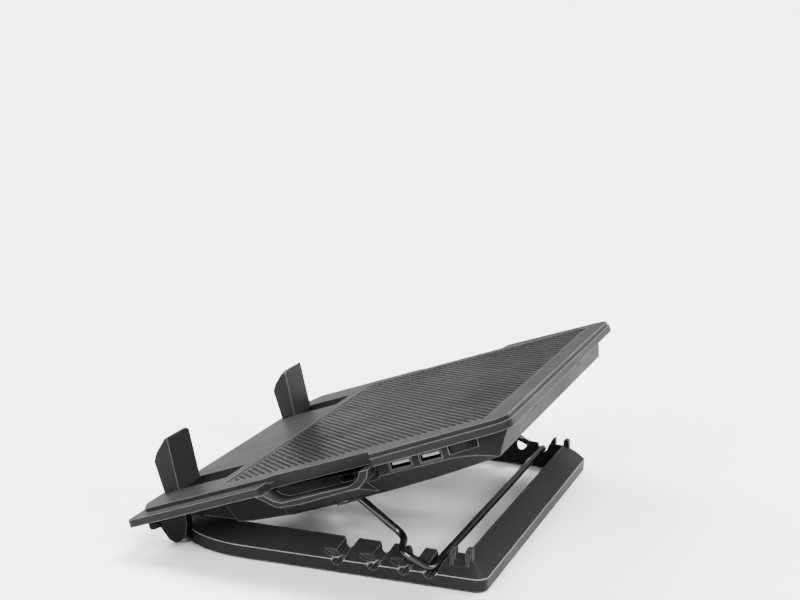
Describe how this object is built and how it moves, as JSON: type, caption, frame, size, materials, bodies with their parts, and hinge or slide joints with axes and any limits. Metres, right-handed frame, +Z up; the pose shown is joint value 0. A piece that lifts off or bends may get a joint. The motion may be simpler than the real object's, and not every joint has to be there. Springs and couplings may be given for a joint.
{
  "type": "laptop cooling pad",
  "caption": "Tilting laptop cooling pad: a mesh deck with a large fan, hinged on a flat base frame and propped by a wire bail in notches.",
  "frame": {"origin": "on the floor, at the middle of the bounding box in plan", "axes": "+X to the right of the person typing, +Y from the front to the back, +Z up"},
  "size_m": [0.374, 0.2502, 0.1178],
  "materials": {
    "satin_plastic": "satin black",
    "shell_plastic": "fine matte black",
    "fan_plastic": "matte black",
    "gloss_plastic": "gloss black",
    "rubber": "matte black",
    "mesh_steel": "black powder coat",
    "wire_steel": "semi-gloss black",
    "bare_steel": "nickel plated",
    "nylon": "off-white",
    "board": "green solder mask"
  },
  "bodies": {
    "base": {"base_frame": "satin_plastic", "foot_rear_right": "rubber", "foot_rear_left": "rubber", "foot_front_right": "rubber", "foot_front_left": "rubber", "hinge_pin_right": "bare_steel", "hinge_pin_left": "bare_steel"},
    "deck": {"deck_tray": "satin_plastic", "mesh_panel": "mesh_steel", "bumper_front_right": "rubber", "bumper_front_left": "rubber", "bumper_rear_right": "rubber", "bumper_rear_left": "rubber", "belly": "shell_plastic", "case_screw_1": "bare_steel", "case_screw_2": "bare_steel", "case_screw_3": "bare_steel", "case_screw_4": "bare_steel", "bail_keeper_right": "shell_plastic", "bail_keeper_left": "shell_plastic", "fan_frame": "fan_plastic", "fan_motor": "bare_steel", "fan_screw_1": "bare_steel", "fan_screw_2": "bare_steel", "fan_screw_3": "bare_steel", "fan_screw_4": "bare_steel", "circuit_board": "board", "usb_port_1": "bare_steel", "usb_tongue_1": "nylon", "usb_port_2": "bare_steel", "usb_tongue_2": "nylon", "power_inlet": "bare_steel", "dial_control": "bare_steel", "stop_pin_right": "bare_steel", "stop_pin_left": "bare_steel"},
    "prop": {"bail": "wire_steel"},
    "rotor": {"fan_rotor": "fan_plastic"},
    "dial": {"speed_dial": "gloss_plastic"},
    "right_stop": {"stop_right": "satin_plastic"},
    "left_stop": {"stop_left": "satin_plastic"}
  },
  "joints": [
    {"name": "deck_tilt", "type": "hinge", "parent": "base", "child": "deck", "pos_m": [0, -0.0988, 0.0075], "axis": [1, 0, 0], "range_deg": [0, 24]},
    {"name": "bail_swing", "type": "hinge", "parent": "deck", "child": "prop", "pos_m": [0, 0.01544, 0.04629], "axis": [1, 0, 0], "range_deg": [0, 38]},
    {"name": "stop_right_fold", "type": "hinge", "parent": "deck", "child": "right_stop", "pos_m": [0.1125, -0.11085, 0.02375], "axis": [-1, 0, 0], "range_deg": [0, 90]},
    {"name": "stop_left_fold", "type": "hinge", "parent": "deck", "child": "left_stop", "pos_m": [-0.1125, -0.11085, 0.02375], "axis": [-1, 0, 0], "range_deg": [0, 90]},
    {"name": "fan_spin", "type": "hinge", "parent": "deck", "child": "rotor", "pos_m": [0, 0.02272, 0.06086], "axis": [0, -0.3576, 0.9339], "continuous": true},
    {"name": "speed_dial_turn", "type": "hinge", "parent": "deck", "child": "dial", "pos_m": [0.1665, 0.09492, 0.096], "axis": [0, -0.3576, 0.9339], "range_deg": [-135, 135]}
  ]
}
